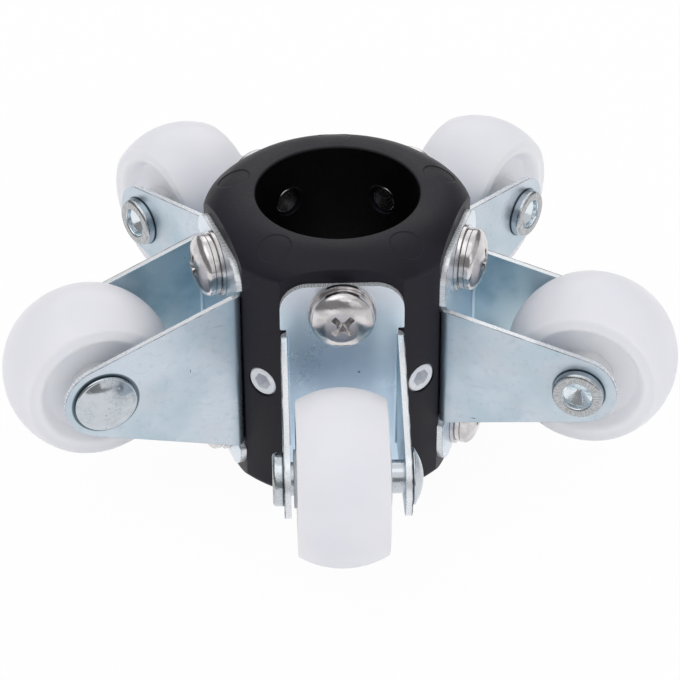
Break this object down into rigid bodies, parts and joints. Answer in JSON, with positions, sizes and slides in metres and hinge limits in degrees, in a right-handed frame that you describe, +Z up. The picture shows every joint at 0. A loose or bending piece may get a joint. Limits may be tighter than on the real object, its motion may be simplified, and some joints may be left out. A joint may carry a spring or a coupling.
{
  "type": "inspection camera wheel",
  "caption": "Wheeled skid for a pipe inspection camera: a moulded hub that clamps on the camera head, with sheet-metal casters bolted round it.",
  "frame": {"origin": "on the bore axis, at the middle of the bore's length", "axes": "+Z up along the camera bore, -Y towards the front caster; the skid stands on the hub's lower end"},
  "size_m": [0.1256, 0.1209, 0.0566],
  "materials": {
    "hub_plastic": "fine moulded satin",
    "zinc_sheet": "blue-white zinc plate",
    "zinc_rivet": "blue-white zinc plate",
    "stainless": "bright stainless",
    "wheel_nylon": "white polypropylene, satin",
    "screw_nylon": "white nylon"
  },
  "bodies": {
    "root": {"hub": "hub_plastic", "front_bracket": "zinc_sheet", "front_axle_rivet": "zinc_rivet", "front_upper_screw": "stainless", "front_upper_spring_washer": "stainless", "front_upper_flat_washer": "stainless", "front_lower_screw": "stainless", "front_lower_spring_washer": "stainless", "front_lower_flat_washer": "stainless", "right_front_bracket": "zinc_sheet", "right_front_axle_rivet": "zinc_rivet", "right_front_upper_screw": "stainless", "right_front_upper_spring_washer": "stainless", "right_front_upper_flat_washer": "stainless", "right_front_lower_screw": "stainless", "right_front_lower_spring_washer": "stainless", "right_front_lower_flat_washer": "stainless", "right_back_bracket": "zinc_sheet", "right_back_axle_rivet": "zinc_rivet", "right_back_upper_screw": "stainless", "right_back_upper_spring_washer": "stainless", "right_back_upper_flat_washer": "stainless", "right_back_lower_screw": "stainless", "right_back_lower_spring_washer": "stainless", "right_back_lower_flat_washer": "stainless", "left_back_bracket": "zinc_sheet", "left_back_axle_rivet": "zinc_rivet", "left_back_upper_screw": "stainless", "left_back_upper_spring_washer": "stainless", "left_back_upper_flat_washer": "stainless", "left_back_lower_screw": "stainless", "left_back_lower_spring_washer": "stainless", "left_back_lower_flat_washer": "stainless", "left_front_bracket": "zinc_sheet", "left_front_axle_rivet": "zinc_rivet", "left_front_upper_screw": "stainless", "left_front_upper_spring_washer": "stainless", "left_front_upper_flat_washer": "stainless", "left_front_lower_screw": "stainless", "left_front_lower_spring_washer": "stainless", "left_front_lower_flat_washer": "stainless"},
    "front_wheel": {"front_wheel": "wheel_nylon"},
    "front_clamp_screw": {"front_clamp_screw": "screw_nylon"},
    "right_front_wheel": {"right_front_wheel": "wheel_nylon"},
    "right_front_clamp_screw": {"right_front_clamp_screw": "screw_nylon"},
    "right_back_wheel": {"right_back_wheel": "wheel_nylon"},
    "right_back_clamp_screw": {"right_back_clamp_screw": "screw_nylon"},
    "left_back_wheel": {"left_back_wheel": "wheel_nylon"},
    "left_back_clamp_screw": {"left_back_clamp_screw": "screw_nylon"},
    "left_front_wheel": {"left_front_wheel": "wheel_nylon"},
    "left_front_clamp_screw": {"left_front_clamp_screw": "screw_nylon"}
  },
  "joints": [
    {"name": "front_wheel_spin", "type": "hinge", "parent": "root", "child": "front_wheel", "pos_m": [0, -0.04925, 0.0004], "axis": [1, 0, 0], "continuous": true},
    {"name": "front_clamp_screw_travel", "type": "slide", "parent": "root", "child": "front_clamp_screw", "axis": [-0.5878, 0.809, 0], "range_m": [-0.002, 0.005]},
    {"name": "right_front_wheel_spin", "type": "hinge", "parent": "root", "child": "right_front_wheel", "pos_m": [0.04684, -0.01522, 0.0004], "axis": [0.309, 0.9511, 0], "continuous": true},
    {"name": "right_front_clamp_screw_travel", "type": "slide", "parent": "root", "child": "right_front_clamp_screw", "axis": [-0.9511, -0.309, 0], "range_m": [-0.002, 0.005]},
    {"name": "right_back_wheel_spin", "type": "hinge", "parent": "root", "child": "right_back_wheel", "pos_m": [0.02895, 0.03984, 0.0004], "axis": [-0.809, 0.5878, 0], "continuous": true},
    {"name": "right_back_clamp_screw_travel", "type": "slide", "parent": "root", "child": "right_back_clamp_screw", "axis": [0, -1, 0], "range_m": [-0.002, 0.005]},
    {"name": "left_back_wheel_spin", "type": "hinge", "parent": "root", "child": "left_back_wheel", "pos_m": [-0.02895, 0.03984, 0.0004], "axis": [-0.809, -0.5878, 0], "continuous": true},
    {"name": "left_back_clamp_screw_travel", "type": "slide", "parent": "root", "child": "left_back_clamp_screw", "axis": [0.9511, -0.309, 0], "range_m": [-0.002, 0.005]},
    {"name": "left_front_wheel_spin", "type": "hinge", "parent": "root", "child": "left_front_wheel", "pos_m": [-0.04684, -0.01522, 0.0004], "axis": [0.309, -0.9511, 0], "continuous": true},
    {"name": "left_front_clamp_screw_travel", "type": "slide", "parent": "root", "child": "left_front_clamp_screw", "axis": [0.5878, 0.809, 0], "range_m": [-0.002, 0.005]}
  ]
}
